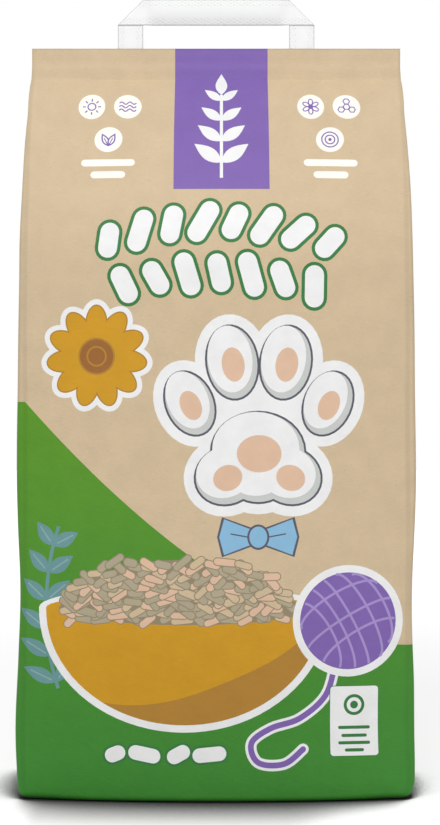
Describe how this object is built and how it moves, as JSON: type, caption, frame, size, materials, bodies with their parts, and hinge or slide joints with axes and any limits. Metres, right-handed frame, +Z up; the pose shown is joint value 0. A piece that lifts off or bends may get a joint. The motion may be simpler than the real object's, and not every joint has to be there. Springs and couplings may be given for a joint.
{
  "type": "cat litter bag",
  "caption": "Sealed paper sack of cat litter with a flat glued top seam, side gussets, a block bottom and a flat tape carry handle.",
  "frame": {"origin": "middle of the base, on the plane that the sack stands on", "axes": "+Z up along the sack's height, -Y out of the printed front panel, +X to the right as one looks at the front"},
  "size_m": [0.248, 0.129, 0.5082],
  "materials": {
    "kraft_paper": "matt brown kraft paper, printed with a green ground and a purple field",
    "handle_tape": "white woven tape with a satin middle and knurled edges"
  },
  "bodies": {
    "root": {"litter_bag": "kraft_paper", "carry_handle": "handle_tape"}
  },
  "joints": []
}
